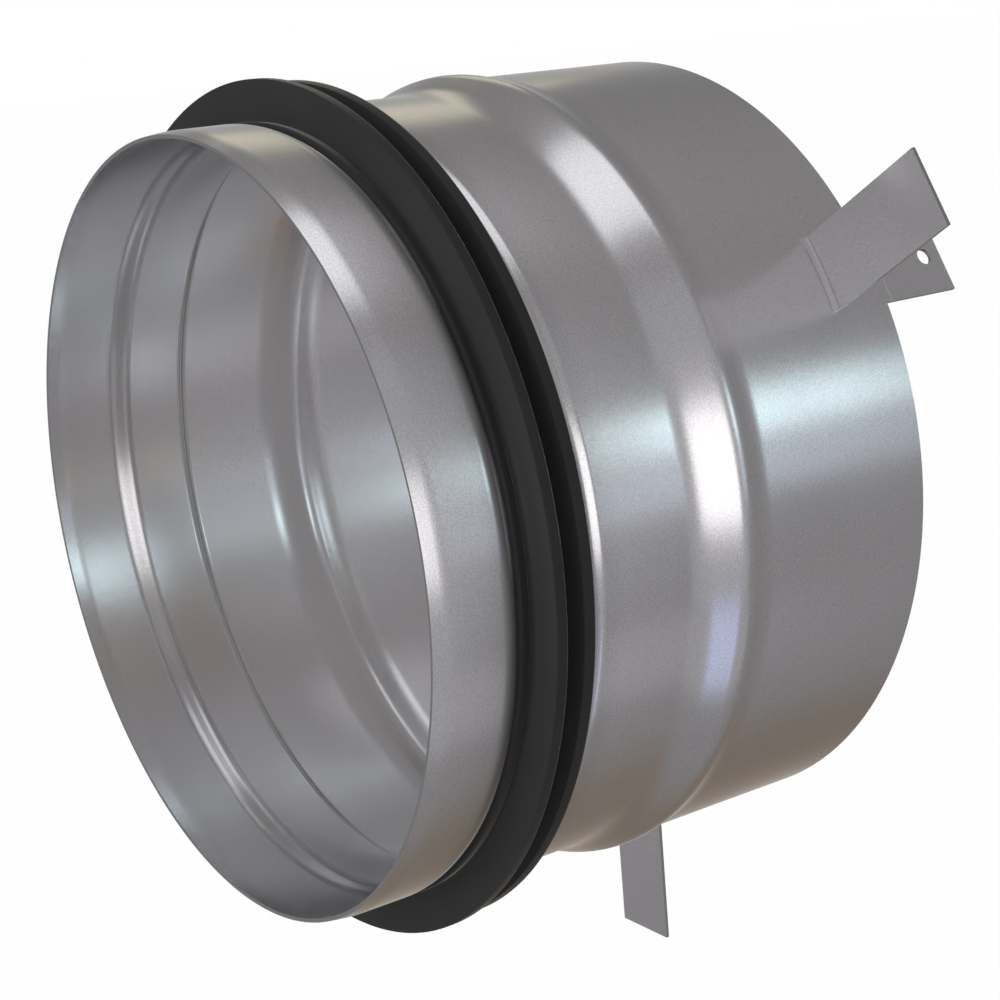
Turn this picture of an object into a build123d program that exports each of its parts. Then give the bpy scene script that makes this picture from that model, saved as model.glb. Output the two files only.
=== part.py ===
from build123d import *
import math
import os

os.makedirs("parts", exist_ok=True)

# Valve mounting ring: a short galvanised sheet ring with a duct spigot and a rubber lip gasket at
# one end, and a wider valve socket with three fixing lugs at the other.
# Frame: the ring's axis is +Y, from the spigot's cut rim at y = 0 to the socket's cut rim. +Z is up.
# Angles round the axis are counted from +X towards +Z. Radii of sheet are at its outer face.

# Sheet
sheet = 0.6
strap_sheet = 0.6

# Spigot, which slides into the duct
spigot_r = 62.1
spigot_length = 12.5
spigot_edge_radius = 3.5

# Groove rolled inwards, where the gasket sits
groove_depth = 0.95
groove_front_run = 2.4
groove_front_radius = 2.0
groove_width = 10.3
groove_rear_run = 1.7
groove_rear_radius = 0.8

# Middle cylinder, where the valve's sleeve seats
middle_step = 1.6
middle_length = 17.7
shoulder_radius = 2.2

# Bead rolled outwards: a long front flank and a short rear one
bead_rise = 3.0
bead_front_run = 8.3
bead_front_radius = 9.2
bead_crest_radius = 5.2
bead_rear_run = 2.9
bead_rear_radius = 4.0

# Wide socket at the rear
socket_step = 1.65
socket_length = 33.1

# Lugs: a tongue of the wall bent outwards, and a strap left straight in the gap behind it
lug_count = 3
first_lug_angle = 30.0
lug_width = 12.4
flap_height = 27.05
flap_setback = 10.4
flap_bend_radius = 1.15
flap_lead = 0.5

# Straps: the foot lies on the socket's inner wall and the blade runs out flat past the rim
strap_foot_length = 5.5
strap_run_out = 4.5
strap_foot_overlap = 7.35
strap_overhang = 15.6
screw_hole_r = 1.32
screw_hole_setback = 3.4
score_offset = 1.9
score_width = 0.35
score_depth = 0.15

# Gasket: a base in the groove, a low bead on its front edge and two lips
gasket_overhang = 0.6
gasket_flank_gap = 0.05
gasket_rear_gap = 0.5
base_proud = 0.15
front_bead_width = 1.75
front_bead_rise = 0.25
front_bead_fall = 0.2
front_bead_dip = 0.2
first_lip_foot = 1.45
first_lip_lean = 0.65
first_lip_height = 6.7
first_lip_root = 2.5
first_lip_tip = 1.95
second_lip_foot = 5.85
second_lip_lean = -0.3
second_lip_height = 6.05
second_lip_root = 2.5
second_lip_tip = 2.0
second_lip_slope = 0.3
lip_rear_edge = 0.4

# Places along the axis
groove_start = spigot_length + groove_front_run
groove_end = groove_start + groove_width
middle_start = groove_end + groove_rear_run
bead_start = middle_start + middle_length
bead_peak = bead_start + bead_front_run
socket_start = bead_peak + bead_rear_run
ring_length = socket_start + socket_length
flap_front = ring_length - flap_setback
lug_start = flap_front - flap_bend_radius - flap_lead

# Radii
groove_r = spigot_r - groove_depth
middle_r = spigot_r + middle_step
socket_r = middle_r + socket_step
socket_wall_r = socket_r - sheet
bead_peak_r = middle_r + bead_rise
flap_end_r = socket_r + flap_height
base_r = spigot_r + base_proud

# Lugs, evenly round the axis
lug_angles = [first_lug_angle + 360 / lug_count * index for index in range(lug_count)]


def sheet_section(corners, radii):
    """Section of bent sheet: the outer face through the corners, the metal on its left."""
    outer_face = FilletPolyline(*corners, radius=radii)
    return make_face(offset(outer_face, amount=sheet, side=Side.LEFT, closed=True))


def lug_slab(start, inner_r, outer_r, end):
    """Slab as wide as a lug, at angle 0, between two places along the axis."""
    slab = Box(
        outer_r - inner_r,
        end - start,
        lug_width,
        align=(Align.MIN, Align.MIN, Align.CENTER),
    )
    return Pos(inner_r, start, 0) * slab


def turned(piece, angle):
    """Piece turned about the ring's axis, from +X towards +Z."""
    return Rot(0, -angle, 0) * piece


def barrel():
    """The rolled sheet before its lugs are cut: spigot, groove, middle, bead and socket."""
    corners = [
        (spigot_r, 0),
        (spigot_r, spigot_length),
        (groove_r, groove_start),
        (groove_r, groove_end),
        (middle_r, middle_start),
        (middle_r, bead_start),
        (bead_peak_r, bead_peak),
        (socket_r, socket_start),
        (socket_r, ring_length),
    ]
    radii = [
        spigot_edge_radius,
        groove_front_radius,
        groove_rear_radius,
        shoulder_radius,
        bead_front_radius,
        bead_crest_radius,
        bead_rear_radius,
    ]
    return revolve(sheet_section(corners, radii), axis=Axis.Y)


def flap():
    """Tongue of the wall at angle 0, bent square outwards along the cylinder's own curve."""
    corners = [
        (socket_r, lug_start),
        (socket_r, flap_front),
        (flap_end_r + lug_width, flap_front),
    ]
    flange = revolve(sheet_section(corners, [flap_bend_radius]), axis=Axis.Y)
    return flange & lug_slab(lug_start, socket_r / 2, flap_end_r, ring_length)


def ring_shell():
    """Barrel with the notches that the three tongues leave open to the rear rim."""
    shell = barrel()
    for angle in lug_angles:
        notch = lug_slab(lug_start, socket_r / 2, flap_end_r, ring_length + sheet)
        shell -= turned(notch, angle)
        shell += turned(flap(), angle)
    return shell


def fixing_strap():
    """Strap at angle 0: foot curved to the wall, blade flat on the chord between its edges."""
    half_width = lug_width / 2
    foot_inner_r = socket_wall_r - strap_sheet
    chord = math.sqrt(socket_wall_r**2 - half_width**2)
    foot_chord = math.sqrt(foot_inner_r**2 - half_width**2)
    strap_start = lug_start - strap_foot_overlap + flap_lead
    blade_start = strap_start + strap_foot_length + strap_run_out
    strap_end = ring_length + strap_overhang

    foot_outline = [
        ThreePointArc((chord, half_width), (socket_wall_r, 0), (chord, -half_width)),
        Line((chord, -half_width), (foot_chord, -half_width)),
        ThreePointArc((foot_chord, -half_width), (foot_inner_r, 0), (foot_chord, half_width)),
        Line((foot_chord, half_width), (chord, half_width)),
    ]
    foot_section = make_face(foot_outline)
    blade_section = Pos(chord - strap_sheet / 2, 0) * Rectangle(strap_sheet, lug_width)

    def across(y):
        return Plane((0, y, 0), x_dir=(1, 0, 0), z_dir=(0, 1, 0))

    foot_face = across(strap_start) * foot_section
    run_out_face = across(strap_start + strap_foot_length) * foot_section
    blade_face = across(blade_start) * blade_section
    strap = extrude(foot_face, amount=strap_foot_length, dir=(0, 1, 0))
    strap += loft([run_out_face, blade_face])
    strap += extrude(blade_face, amount=strap_end - blade_start, dir=(0, 1, 0))

    hole = Pos(chord, strap_end - screw_hole_setback, 0) * Rot(0, 90, 0) * Cylinder(
        screw_hole_r, 4 * strap_sheet
    )
    score_y = ring_length + score_offset
    score_line = Polyline(
        (chord, score_y - score_width / 2),
        (chord - score_depth, score_y),
        (chord, score_y + score_width / 2),
        close=True,
    )
    score = extrude(make_face(score_line), amount=lug_width, both=True)
    return strap - hole - score


def lip(foot, lean, height, root, tip, slope):
    """Corners of one lip of the gasket, from its front foot over its tip to its rear foot."""
    foot_y = groove_start + foot
    tip_y = foot_y - lean
    tip_r = spigot_r + height
    return [
        (base_r, foot_y),
        (tip_r - slope, tip_y),
        (tip_r, tip_y + tip - lip_rear_edge),
        (tip_r - lip_rear_edge, tip_y + tip),
        (base_r, foot_y + root),
    ]


def lip_gasket():
    """Moulded rubber ring: base in the groove, front bead and two lips, turned as one section."""
    flank_slope = groove_depth / groove_front_run
    base_start = groove_start - gasket_overhang
    base_end = groove_end - gasket_rear_gap
    seat_start = groove_start + groove_front_radius * math.tan(math.atan(flank_slope) / 2)
    seat_edge_r = groove_r + gasket_overhang * flank_slope + gasket_flank_gap
    bead_top_r = base_r + front_bead_rise
    dip_y = base_start + front_bead_width
    corners = [
        (seat_edge_r, base_start),
        (bead_top_r, base_start),
        (bead_top_r - front_bead_fall, dip_y - front_bead_dip),
        (base_r - front_bead_dip, dip_y),
        *lip(
            first_lip_foot, first_lip_lean, first_lip_height, first_lip_root, first_lip_tip, 0
        ),
        *lip(
            second_lip_foot,
            second_lip_lean,
            second_lip_height,
            second_lip_root,
            second_lip_tip,
            second_lip_slope,
        ),
        (base_r, base_end),
        (groove_r, base_end),
        (groove_r, seat_start),
    ]
    return revolve(make_face(Polyline(*corners, close=True)), axis=Axis.Y)


export_step(ring_shell(), "parts/ring_shell.step")
export_step(lip_gasket(), "parts/lip_gasket.step")
strap = fixing_strap()
for number, angle in enumerate(lug_angles, start=1):
    export_step(turned(strap, angle), f"parts/fixing_strap_{number}.step")
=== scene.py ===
import math

import bmesh
import bpy
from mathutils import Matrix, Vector


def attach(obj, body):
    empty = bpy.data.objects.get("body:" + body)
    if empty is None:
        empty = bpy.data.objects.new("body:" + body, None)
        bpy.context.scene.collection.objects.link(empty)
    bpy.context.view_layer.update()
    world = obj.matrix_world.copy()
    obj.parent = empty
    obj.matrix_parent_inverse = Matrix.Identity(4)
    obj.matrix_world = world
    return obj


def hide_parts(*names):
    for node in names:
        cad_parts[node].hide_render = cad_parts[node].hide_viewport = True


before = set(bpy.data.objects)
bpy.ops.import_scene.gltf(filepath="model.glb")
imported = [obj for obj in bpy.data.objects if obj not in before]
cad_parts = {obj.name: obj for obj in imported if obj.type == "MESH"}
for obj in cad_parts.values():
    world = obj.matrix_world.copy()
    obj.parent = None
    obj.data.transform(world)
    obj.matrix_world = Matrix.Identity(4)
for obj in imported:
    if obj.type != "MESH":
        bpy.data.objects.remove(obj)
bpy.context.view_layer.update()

# Ring shell. A short barrel of galvanised sheet, rolled with a groove, a step and a bead, with
# three tongues of its wall cut loose and bent outwards as stops. Zinc gives it a fine satin
# grain, and the sheared edges show bare steel.
mm = 0.001
weld_distance = 0.001 * mm
sharp_angle = math.radians(50)
zinc_grey = (0.214, 0.206, 0.212, 1)
zinc_deep = (0.184, 0.177, 0.182, 1)
zinc_mirrored = (0.94, 0.94, 0.95, 1)
bare_steel = (0.13, 0.127, 0.132, 1)
edge_dulling = (0.56, 0.56, 0.56, 1)
noise_low, noise_high = 0.3, 0.7
square_on, half_on = 0.9, 0.5
rim_reach = 65.4 * mm
lug_reach = 92.3 * mm

# Painted shade of the outer face by place along the axis, darkest beside the gasket, and the darker
# tone of the groove's front flank inside
tone_start, tone_end = 4.0 * mm, 32.0 * mm
shade_tones = [
    (4.0, 1.0), (8.0, 0.93), (10.0, 0.87), (11.0, 0.81), (11.6, 0.72), (12.2, 0.54),
    (12.8, 0.36), (13.4, 0.17), (14.0, 0.04), (14.3, 0.02), (25.0, 0.02), (25.6, 0.5),
    (26.6, 0.9), (28.5, 0.92), (31.5, 1.0),
]
flank_start, flank_end = 12.0 * mm, 15.6 * mm
flank_tone = 0.8


def add_node(tree, kind, inputs=None, **settings):
    """New shader node; inputs gives values or links for its sockets."""
    node = tree.nodes.new(kind)
    for name, value in settings.items():
        setattr(node, name, value)
    for name, value in (inputs or {}).items():
        if isinstance(value, bpy.types.NodeSocket):
            tree.links.new(value, node.inputs[name])
        else:
            node.inputs[name].default_value = value
    return node


def worked(tree, operation, *values):
    """Result of a Math node on values or links."""
    node = add_node(tree, "ShaderNodeMath", dict(enumerate(values)), operation=operation)
    return node.outputs[0]


def worked_vector(tree, operation, output, *values):
    """Named result of a Vector Math node on values or links."""
    node = add_node(tree, "ShaderNodeVectorMath", dict(enumerate(values)), operation=operation)
    return node.outputs[output]


def new_group(name, inputs, outputs):
    """New node group with float sockets: its tree, its input node and its output node."""
    tree = bpy.data.node_groups.new(name, "ShaderNodeTree")
    kind = "NodeSocketFloat"
    for label, value in inputs.items():
        socket = tree.interface.new_socket(name=label, in_out="INPUT", socket_type=kind)
        socket.default_value = value
    for label in outputs:
        tree.interface.new_socket(name=label, in_out="OUTPUT", socket_type=kind)
    return tree, tree.nodes.new("NodeGroupInput"), tree.nodes.new("NodeGroupOutput")


def grain_group():
    """Fine grain of a zinc coat, with broad faint clouds; sizes are in millimetres."""
    sizes = {"Grain Size": 0.4, "Cloud Size": 14.0}
    tree, given, result = new_group("zinc_grain", sizes, ["Height", "Shade", "Cloud"])
    place = add_node(tree, "ShaderNodeTexCoord").outputs["Object"]

    def noise(size):
        scale = worked(tree, "DIVIDE", 1 / mm, given.outputs[size])
        inputs = {"Vector": place, "Scale": scale, "Detail": 0.0}
        return add_node(tree, "ShaderNodeTexNoise", inputs).outputs["Fac"]

    fine = noise("Grain Size")
    tree.links.new(fine, result.inputs["Height"])
    tree.links.new(fine, result.inputs["Shade"])
    tree.links.new(noise("Cloud Size"), result.inputs["Cloud"])
    return tree


def new_material(name, **constants):
    """New material with its Principled BSDF, whose plain values are set on its own sockets."""
    material = bpy.data.materials.new(name)
    material.use_nodes = True
    shader = material.node_tree.nodes["Principled BSDF"]
    for label, value in constants.items():
        shader.inputs[label.replace("_", " ")].default_value = value
    return material, material.node_tree, shader


def surface_place(tree):
    """The surface's geometry node, its place along the ring's axis and the spoke to it."""
    geometry = add_node(tree, "ShaderNodeNewGeometry")
    place = add_node(tree, "ShaderNodeSeparateXYZ", {0: geometry.outputs["Position"]})
    across = {"X": place.outputs["X"], "Z": place.outputs["Z"]}
    spoke = add_node(tree, "ShaderNodeCombineXYZ", across).outputs[0]
    return geometry, place.outputs["Y"], spoke


def cut_edge_group():
    """Mask of the sheared edges of the sheet: rims, sides of lugs and notches, lug ends."""
    tree, _, result = new_group("cut_edges", {}, ["Mask"])
    geometry, _, spoke = surface_place(tree)
    radius = worked_vector(tree, "LENGTH", "Value", spoke)
    outward = worked_vector(tree, "NORMALIZE", "Vector", spoke)
    around = worked_vector(tree, "CROSS_PRODUCT", "Vector", outward, (0, 1, 0))

    def facing(way, least):
        normal = geometry.outputs["True Normal"]
        dot = worked_vector(tree, "DOT_PRODUCT", "Value", normal, way)
        return worked(tree, "GREATER_THAN", worked(tree, "ABSOLUTE", dot), least)

    on_ring = worked(tree, "LESS_THAN", radius, rim_reach)
    at_lug_end = worked(tree, "GREATER_THAN", radius, lug_reach)
    rim = worked(tree, "MULTIPLY", facing((0, 1, 0), square_on), on_ring)
    lug_end = worked(tree, "MULTIPLY", facing(outward, half_on), at_lug_end)
    ends = worked(tree, "MAXIMUM", rim, lug_end)
    mask = worked(tree, "MAXIMUM", facing(around, half_on), ends)
    tree.links.new(mask, result.inputs["Mask"])
    return tree


def beside_rubber_group():
    """Painted shade on the sheet, darker outside beside the gasket; also darker inside on the
    groove's flank.
    """
    tree, _, result = new_group("beside_rubber", {}, ["Tone"])
    geometry, along, spoke = surface_place(tree)
    facing = worked_vector(tree, "DOT_PRODUCT", "Value", geometry.outputs["Normal"], spoke)
    inside = worked(tree, "LESS_THAN", facing, 0.0)

    span = {"Value": along, "From Min": tone_start, "From Max": tone_end}
    share = add_node(tree, "ShaderNodeMapRange", span).outputs[0]
    ramp = add_node(tree, "ShaderNodeValToRGB", {"Fac": share})
    stops = ramp.color_ramp.elements
    while len(stops) < len(shade_tones):
        stops.new(0.5)
    for stop, (length, tone) in zip(stops, shade_tones):
        stop.position = (length * mm - tone_start) / (tone_end - tone_start)
        stop.color = (tone, tone, tone, 1)

    past_start = worked(tree, "GREATER_THAN", along, flank_start)
    before_end = worked(tree, "LESS_THAN", along, flank_end)
    on_flank = worked(tree, "MULTIPLY", past_start, before_end)
    change = {"Value": on_flank, "To Min": 1.0, "To Max": flank_tone}
    flank = add_node(tree, "ShaderNodeMapRange", change).outputs[0]
    inner = worked(tree, "MULTIPLY", inside, flank)
    tone = worked(tree, "MAXIMUM", ramp.outputs["Color"], inner)
    tree.links.new(tone, result.inputs["Tone"])
    return tree


def galvanised(name, grain_size, grain_height, roughness, roughness_swing):
    """Galvanised sheet: zinc grey with grain in its height, its colour and its gloss."""
    material, tree, shader = new_material(name, Metallic=1.0, Specular_Tint=edge_dulling)
    grain = add_node(tree, "ShaderNodeGroup", node_tree=zinc_grain)
    grain.inputs["Grain Size"].default_value = grain_size
    shade = add_node(
        tree,
        "ShaderNodeMapRange",
        {"Value": grain.outputs["Shade"], "From Min": noise_low, "From Max": noise_high},
    )
    colour = add_node(tree, "ShaderNodeMix", {"Factor": shade.outputs[0]}, data_type="RGBA")
    colour.inputs[6].default_value = zinc_deep
    colour.inputs[7].default_value = zinc_grey
    gloss = add_node(
        tree,
        "ShaderNodeMapRange",
        {
            "Value": grain.outputs["Cloud"],
            "From Min": noise_low,
            "From Max": noise_high,
            "To Min": roughness - roughness_swing,
            "To Max": roughness + roughness_swing,
        },
    )
    bump = add_node(
        tree,
        "ShaderNodeBump",
        {"Height": grain.outputs["Height"], "Strength": 1.0, "Distance": grain_height},
    )
    cut = add_node(tree, "ShaderNodeGroup", node_tree=cut_edges)
    worn = add_node(
        tree,
        "ShaderNodeMix",
        {"Factor": cut.outputs["Mask"], 6: colour.outputs[2], 7: bare_steel},
        data_type="RGBA",
    )
    # Painted shade beside the gasket, in place of its shade and its dark reflection, and a darker
    # inner groove flank
    beside = add_node(tree, "ShaderNodeGroup", node_tree=beside_rubber)
    darkened_by_place = add_node(
        tree,
        "ShaderNodeMix",
        {"Factor": 1.0, 6: worn.outputs[2], 7: beside.outputs["Tone"]},
        data_type="RGBA",
        blend_type="MULTIPLY",
    )
    # Metal seen in the gloss of metal gets a near-white colour, painted light that keeps the bore
    # from going dark
    path = add_node(tree, "ShaderNodeLightPath")
    seen = add_node(
        tree,
        "ShaderNodeMix",
        {"Factor": path.outputs["Is Glossy Ray"], 6: darkened_by_place.outputs[2], 7: zinc_mirrored},
        data_type="RGBA",
    )
    tree.links.new(seen.outputs[2], shader.inputs["Base Color"])
    tree.links.new(gloss.outputs[0], shader.inputs["Roughness"])
    tree.links.new(bump.outputs[0], shader.inputs["Normal"])
    return material


def rounded(corners, radii, steps=6, closed=True):
    """Points of a line with rounded corners, each with the way square to it, on its right."""
    line = []
    count = len(corners)

    def square(first, second):
        way = (second - first).normalized()
        return Vector((way.y, -way.x))

    spots = [Vector(corner) for corner in corners]
    for index, (here, radius) in enumerate(zip(spots, radii)):
        before, after = spots[index - 1], spots[(index + 1) % count]
        if not closed and index in (0, count - 1):
            line.append((here, square(here, after) if index == 0 else square(before, here)))
            continue
        if radius == 0:
            line.append((here, (square(before, here) + square(here, after)).normalized()))
            continue
        back, ahead = (before - here).normalized(), (after - here).normalized()
        half = back.angle(ahead) / 2
        middle = here + (back + ahead).normalized() * (radius / math.sin(half))
        first, last = square(before, here), square(here, after)
        side = math.copysign(1, (here - middle).dot(first))
        sweep = math.atan2(first.x * last.y - first.y * last.x, first.dot(last))
        for step in range(steps + 1):
            turn = sweep * step / steps
            outward = Vector((
                first.x * math.cos(turn) - first.y * math.sin(turn),
                first.x * math.sin(turn) + first.y * math.cos(turn),
            ))
            line.append((middle + side * radius * outward, outward))
    return line


def mesh_piece(name, points, faces):
    """New piece from points and faces, smooth but for its sharp edges."""
    mesh = bpy.data.meshes.new(name)
    mesh.from_pydata(points, [], faces)
    work = bmesh.new()
    work.from_mesh(mesh)
    bmesh.ops.remove_doubles(work, verts=work.verts, dist=weld_distance)
    bmesh.ops.recalc_face_normals(work, faces=work.faces)
    work.to_mesh(mesh)
    work.free()
    mesh.shade_smooth()
    mesh.set_sharp_from_angle(angle=sharp_angle)
    piece = bpy.data.objects.new(name, mesh)
    bpy.context.scene.collection.objects.link(piece)
    return piece


def both_faces(line, sheet):
    """Outer and inner line of a bent sheet, from the outer line and its square directions."""
    return [spot for spot, outward in line], [spot - sheet * outward for spot, outward in line]


def lug_place(radius, length, across, turn):
    """Point at a radius and a place along the axis, a width away from the middle of a lug."""
    out = math.sqrt(radius ** 2 - across ** 2)
    return (
        out * math.cos(turn) - across * math.sin(turn),
        length,
        out * math.sin(turn) + across * math.cos(turn),
    )


zinc_grain = grain_group()
cut_edges = cut_edge_group()
beside_rubber = beside_rubber_group()

sheet = 0.6 * mm
lug_width = 12.4 * mm
lug_turns = [math.radians(angle) for angle in (30, 150, 270)]
lug_leans = [math.radians(angle) for angle in (1.6, 1.0, 0.5)]
lug_start = 76.85 * mm
lug_front = 78.5 * mm
lug_bend = 1.15 * mm
lug_end_r = 92.38 * mm
lug_tip_r = lug_end_r - 1 * mm
bend_steps = 10
per_lug, per_gap = 6, 108
shell_corners = [
    (62.04, 0), (62.42, 2.7), (62.42, 12.6), (61.15, 14.9), (61.15, 25.2), (63.7, 26.9),
    (63.7, 45.45), (66.616, 52.32), (65.35, 56.22), (65.35, 76.85), (65.35, 88.9),
]
shell_radii = [0, 14, 4.8, 2.8, 0.8, 2.2, 13, 5.0, 12, 0, 0]
shell_line = rounded(
    [(radius * mm, length * mm) for radius, length in shell_corners],
    [radius * mm for radius in shell_radii],
    steps=bend_steps,
    closed=False,
)
shell_outer, shell_inner = both_faces(shell_line, sheet)

columns = []
for turn in lug_turns:
    for step in range(per_lug + 1):
        columns.append((turn, lug_width * (step / per_lug - 0.5), step < per_lug))
    edge = math.asin(lug_width / 2 / shell_outer[-1].x)
    gap = 2 * math.pi / len(lug_turns) - 2 * edge
    for step in range(1, per_gap):
        columns.append((turn + edge + gap * step / per_gap, 0.0, False))

shell_points = []
for turn, across, _ in columns:
    for spot in shell_outer + shell_inner[::-1]:
        shell_points.append(lug_place(spot.x, spot.y, across, turn))
count = 2 * len(shell_outer)
wall_end = len(shell_outer) - 2
shell_faces = []
for index, (_, _, in_notch) in enumerate(columns):
    here, there = index * count, (index + 1) % len(columns) * count
    for spot in range(count):
        ahead = (spot + 1) % count
        if in_notch and wall_end <= spot < count - 1 - wall_end:
            continue
        shell_faces.append((here + spot, here + ahead, there + ahead, there + spot))
    on_notch_side = in_notch != columns[index - 1][2]
    if on_notch_side:
        shell_faces.append(tuple(here + spot for spot in range(wall_end, count - wall_end)))

for turn, lean in zip(lug_turns, lug_leans):
    reach = lug_end_r - shell_outer[-1].x
    lug_line = rounded(
        [
            (shell_outer[-1].x, lug_start),
            (shell_outer[-1].x, lug_front),
            (lug_end_r, lug_front - reach * math.tan(lean)),
        ],
        [0, lug_bend, 0],
        steps=bend_steps,
        closed=False,
    )
    lug_outer, lug_inner = both_faces(lug_line, sheet)
    section = lug_outer + lug_inner[::-1]
    first = len(shell_points)
    for step in range(per_lug + 1):
        across = lug_width * (step / per_lug - 0.5)
        for spot in section:
            radius = math.hypot(spot.x, across) if spot.x > lug_tip_r else spot.x
            shell_points.append(lug_place(radius, spot.y, across, turn))
    around = len(section)
    for step in range(per_lug):
        here, there = first + step * around, first + (step + 1) * around
        for spot in range(around - 1):
            shell_faces.append((here + spot, here + spot + 1, there + spot + 1, there + spot))
    for side in (0, per_lug):
        here = first + side * around
        for spot in range(around // 2 - 1):
            far = here + around - 1 - spot
            shell_faces.append((here + spot, here + spot + 1, far - 1, far))

shell = mesh_piece("rolled_shell", shell_points, shell_faces)
shell_sheet = galvanised(
    "galvanised_shell",
    grain_size=0.22,
    grain_height=0.0022 * mm,
    roughness=0.24,
    roughness_swing=0.01,
)
shell.data.materials.append(shell_sheet)
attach(shell, "root")
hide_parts("ring_shell")

# Fixing straps. Three plain strips of the same sheet, spot-welded by their feet inside the
# socket. They pass out through the notches behind the tongues, and each has a score line and a
# screw hole.
strap_sheet = galvanised(
    "galvanised_strap",
    grain_size=0.2,
    grain_height=0.0005 * mm,
    roughness=0.3,
    roughness_swing=0.01,
)


def wear(node_name, material):
    """Puts a material on every slot of a CAD node."""
    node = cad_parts[node_name]
    for place in node.material_slots:
        place.material = material


for number in (1, 2, 3):
    wear(f"fixing_strap_{number}", strap_sheet)

# Lip gasket. One moulded ring of black rubber, stretched into the groove: a base with a rounded
# bead on its front edge and two lips that seal against the duct.
rubber_black = (0.030, 0.030, 0.0315, 1)
rubber_dusty = (0.035, 0.035, 0.0365, 1)
rubber_grain, rubber_cloud = 0.3, 9.0
rubber_height = 0.006 * mm
rubber_smooth, rubber_rough = 0.36, 0.42
gasket_columns = 360


def moulded_rubber():
    """Black rubber: slightly dusty patches over a matt skin with a very fine grain."""
    material, tree, shader = new_material("black_rubber", Metallic=0.0, Specular_IOR_Level=0.012)
    grain = add_node(tree, "ShaderNodeGroup", node_tree=zinc_grain)
    grain.inputs["Grain Size"].default_value = rubber_grain
    grain.inputs["Cloud Size"].default_value = rubber_cloud
    colour = add_node(tree, "ShaderNodeMix", {"Factor": grain.outputs["Cloud"]}, data_type="RGBA")
    colour.inputs[6].default_value = rubber_black
    colour.inputs[7].default_value = rubber_dusty
    gloss = add_node(
        tree,
        "ShaderNodeMapRange",
        {
            "Value": grain.outputs["Shade"],
            "From Min": noise_low,
            "From Max": noise_high,
            "To Min": rubber_smooth,
            "To Max": rubber_rough,
        },
    )
    bump = add_node(
        tree,
        "ShaderNodeBump",
        {"Height": grain.outputs["Height"], "Strength": 1.0, "Distance": rubber_height},
    )
    tree.links.new(colour.outputs[2], shader.inputs["Base Color"])
    tree.links.new(gloss.outputs[0], shader.inputs["Roughness"])
    tree.links.new(bump.outputs[0], shader.inputs["Normal"])
    return material


def turned_mesh(name, outline, around):
    """Ring turned about the +Y axis from a closed outline of (radius, length) points."""
    count = len(outline)
    points = []
    for index in range(around):
        turn = 2 * math.pi * index / around
        for radius, length in outline:
            points.append((radius * math.cos(turn), length, radius * math.sin(turn)))
    faces = []
    for index in range(around):
        here, there = index * count, (index + 1) % around * count
        for spot in range(count):
            ahead = (spot + 1) % count
            faces.append((here + spot, here + ahead, there + ahead, there + spot))
    return mesh_piece(name, points, faces)


gasket_corners = [
    (61.15, 15.28), (61.44, 14.3), (62.5, 14.3), (62.3, 15.85), (62.05, 16.05),
    (62.25, 16.35), (68.8, 15.7), (68.8, 17.65), (62.25, 18.85),
    (62.25, 20.75), (67.85, 21.05), (68.15, 23.05), (62.25, 23.25),
    (62.25, 24.7), (61.15, 24.7),
]
gasket_radii = [0, 0, 0.35, 0.15, 0.1, 1.2, 0.15, 0.7, 0.6, 0.6, 0.15, 0.7, 0.6, 0.25, 0]
gasket_line = rounded(
    [(radius * mm, length * mm) for radius, length in gasket_corners],
    [radius * mm for radius in gasket_radii],
)
gasket_outline = [spot for spot, outward in gasket_line]
gasket = turned_mesh("moulded_gasket", gasket_outline, gasket_columns)
gasket.data.materials.append(moulded_rubber())
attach(gasket, "root")
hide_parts("lip_gasket")

# The sheet beside it carries a painted shade in place of the rubber's dark reflection, so its gloss
# leaves the rubber out
gasket.visible_glossy = False

# Studio. The ring is shown in the air over a wide pale floor, warm behind the ring and white
# further out, in a white room. Soft lamps seen in gloss alone give the highlights, a tiny one
# inside the bore gives the patch behind the rim, and the front lamp lights the rubber.
floor_z = -0.70
floor_half = 40.0
floor_warm = (0.967, 0.822, 0.676, 1)
floor_white = (1, 1, 1, 1)
warm_centre = (-0.39, 0.46, 0)
warm_inner, warm_outer = 0.38, 0.6
plain_share = 0.985
diffuse_level = 0.5
ring_centre = Vector((0.0, 0.050, 0.0))


def shown_rays(tree):
    """1 for rays from the camera, from gloss and through glass, and 0 for diffuse light."""
    path = add_node(tree, "ShaderNodeLightPath")
    first = worked(tree, "MAXIMUM", path.outputs["Is Camera Ray"], path.outputs["Is Glossy Ray"])
    return worked(tree, "MAXIMUM", first, path.outputs["Is Transmission Ray"])


def floor_material():
    """Pale floor: diffuse, so that it keeps a shadow, and mostly its plain colour when seen."""
    material, tree, shader = new_material("pale_floor", Roughness=0.9)
    material.cycles.emission_sampling = "NONE"
    place = add_node(tree, "ShaderNodeTexCoord").outputs["Object"]
    away = worked_vector(tree, "DISTANCE", "Value", place, warm_centre)
    span = {"Value": away, "From Min": warm_inner, "From Max": warm_outer}
    ramp = add_node(tree, "ShaderNodeMapRange", span, interpolation_type="SMOOTHSTEP")
    colour = add_node(tree, "ShaderNodeMix", {"Factor": ramp.outputs[0]}, data_type="RGBA")
    colour.inputs[6].default_value = floor_warm
    colour.inputs[7].default_value = floor_white
    tree.links.new(colour.outputs[2], shader.inputs["Base Color"])
    glow = add_node(tree, "ShaderNodeEmission", {"Color": colour.outputs[2], "Strength": 1.0})
    share = worked(tree, "MULTIPLY", shown_rays(tree), plain_share)
    parts = {0: share, 1: shader.outputs[0], 2: glow.outputs[0]}
    both = add_node(tree, "ShaderNodeMixShader", parts)
    tree.links.new(both.outputs[0], tree.nodes["Material Output"].inputs["Surface"])
    return material


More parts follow.
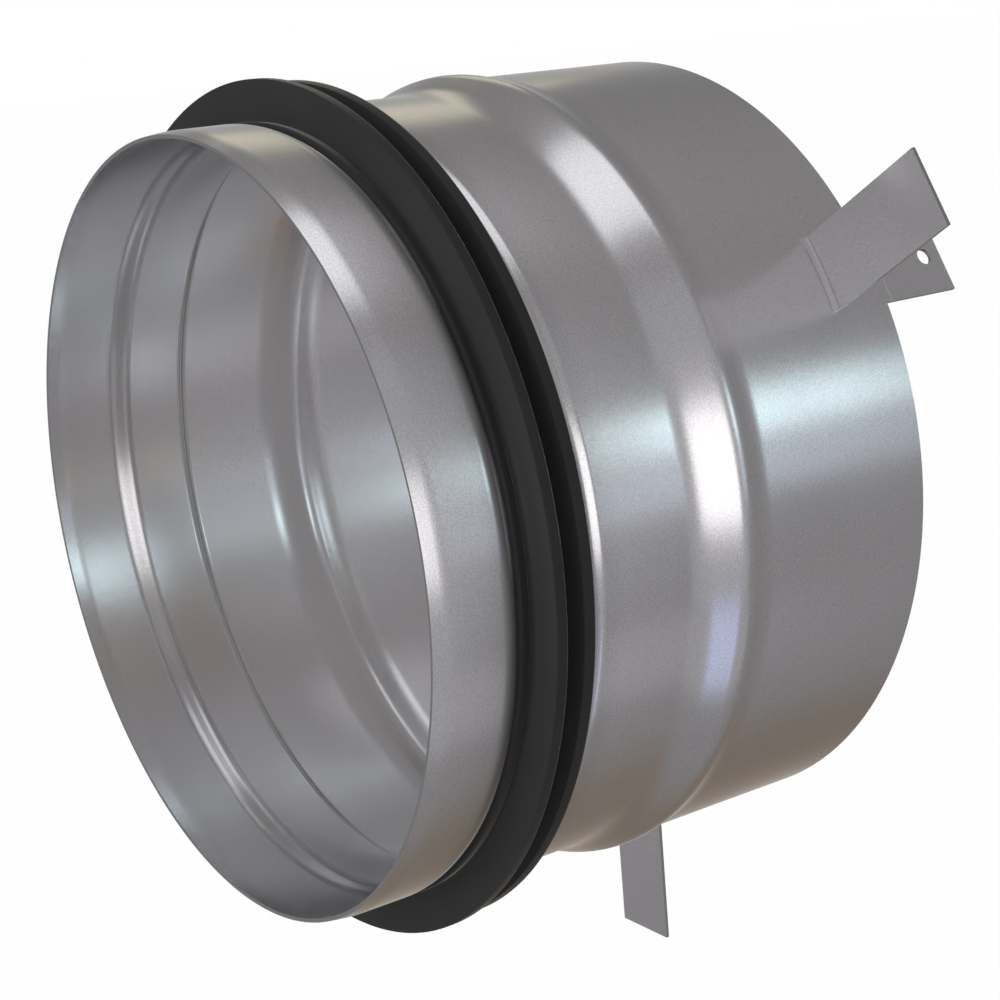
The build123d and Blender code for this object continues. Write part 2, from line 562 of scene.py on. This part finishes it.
floor_mesh = bpy.data.meshes.new("floor")
floor_signs = [(-1, -1), (1, -1), (1, 1), (-1, 1)]
floor_corners = [(x * floor_half, y * floor_half, 0) for x, y in floor_signs]
floor_mesh.from_pydata(floor_corners, [], [(0, 1, 2, 3)])
floor_mesh.materials.append(floor_material())
floor = bpy.data.objects.new("floor", floor_mesh)
floor.location = (ring_centre.x, ring_centre.y, floor_z)
bpy.context.scene.collection.objects.link(floor)

world = bpy.data.worlds.new("white_room")
world.use_nodes = True
world.cycles.sampling_method = "NONE"
bpy.context.scene.world = world
room = world.node_tree
room_light = room.nodes["Background"]
room_light.inputs["Color"].default_value = (1, 1, 1, 1)
level = add_node(
    room,
    "ShaderNodeMapRange",
    {"Value": shown_rays(room), "To Min": diffuse_level, "To Max": 1.0},
)
room.links.new(level.outputs[0], room_light.inputs["Strength"])


def soft_lamp(name, azimuth, elevation, distance, width, height, radiance, colour, diffuse=False):
    """Flat lamp facing the ring, for gloss or for diffuse light; azimuth is from +Y towards +X."""
    turn, lift = math.radians(azimuth), math.radians(elevation)
    way = Vector((math.sin(turn) * math.cos(lift), math.cos(turn) * math.cos(lift), math.sin(lift)))
    data = bpy.data.lights.new(name, "AREA")
    data.shape = "RECTANGLE"
    data.size = width
    data.size_y = height
    data.energy = radiance * math.pi * width * height
    data.color = colour
    lamp = bpy.data.objects.new(name, data)
    lamp.location = ring_centre + distance * way
    lamp.rotation_euler = way.to_track_quat("Z", "Y").to_euler()
    lamp.visible_diffuse = diffuse
    lamp.visible_glossy = not diffuse
    bpy.context.scene.collection.objects.link(lamp)


# Name, azimuth and elevation in degrees, distance, width, height, radiance and colour
soft_lamp("strip_lamp", 50.6, 11.0, 2.0, 0.31, 0.36, 8.2, (0.72, 0.96, 1.0))
soft_lamp("strip_lamp_foot", 52, -1.5, 2.0, 0.5, 0.36, 1.9, (0.70, 0.83, 1.0))
soft_lamp("rear_lamp", -56.5, 30.5, 2.0, 0.48, 0.52, 2.25, (1.0, 0.94, 0.66))
soft_lamp("top_lamp", 90, 82.5, 2.0, 1.95, 1.14, 3.1, (0.96, 0.99, 1.0))
soft_lamp("side_softbox", 104, 3, 1.4, 1.5, 0.8, 4.6, (1.0, 1.0, 1.0))
soft_lamp("side_glow", 86, 8, 0.8, 0.95, 1.5, 0.46, (0.92, 0.96, 1.0))
soft_lamp("low_strip", 92, -43, 0.8, 0.15, 0.34, 2.3, (0.45, 0.57, 1.0))
soft_lamp("low_glow", 84, -46, 0.8, 1.0, 0.3, 0.5, (0.92, 0.94, 1.0))
soft_lamp("bore_lamp", 89, 19, 0.053, 0.017, 0.022, 5.6, (0.74, 0.96, 1.0))
soft_lamp("flap_glow", -123, -12, 1.5, 1.0, 0.8, 0.4, (0.95, 0.95, 1.0))
soft_lamp("front_glow", 160, 25, 1.6, 1.8, 1.1, 0.45, (1.0, 1.0, 1.0))
soft_lamp("front_lamp", 180, 25, 2.0, 2.0, 2.0, 1.65, (1.0, 1.0, 1.0), diffuse=True)

camera_data = bpy.data.cameras.new("camera")
camera_data.sensor_width = 36
camera_data.lens = 74.457
camera_data.clip_start = 0.01
camera = bpy.data.objects.new("camera", camera_data)
camera.location = (0.2860589, -0.1377000, 0.0733102)
camera.rotation_euler = [math.radians(angle) for angle in (77.0883, 5.0654, 54.9539)]
bpy.context.scene.collection.objects.link(camera)
bpy.context.scene.camera = camera
bpy.context.scene.view_settings.view_transform = "Standard"
